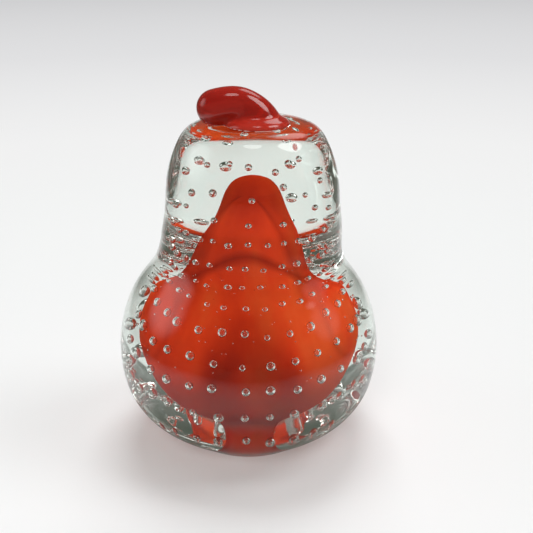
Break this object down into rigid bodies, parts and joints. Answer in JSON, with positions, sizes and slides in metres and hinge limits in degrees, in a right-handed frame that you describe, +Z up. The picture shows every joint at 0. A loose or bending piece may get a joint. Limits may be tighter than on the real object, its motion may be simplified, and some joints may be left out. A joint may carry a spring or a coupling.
{
  "type": "glass pear paperweight",
  "caption": "Solid glass pear paperweight: an orange-red bell-shaped core in clear glass with rings of small air bubbles, a curled red stem on top and a ground flat base.",
  "frame": {"origin": "centre of the ground base, on the surface that the paperweight stands on", "axes": "+Z up along the pear, -Y to the front as pictured, +X to the right; the stem's end points to -X"},
  "size_m": [0.0826, 0.0826, 0.1149],
  "materials": {
    "clear_glass": "fire polished, colourless",
    "core_glass": "transparent orange-red",
    "stem_glass": "fire polished deep red"
  },
  "bodies": {
    "root": {"red_core": "core_glass", "inner_gather": "clear_glass", "outer_casing": "clear_glass", "stem": "stem_glass"}
  },
  "joints": []
}
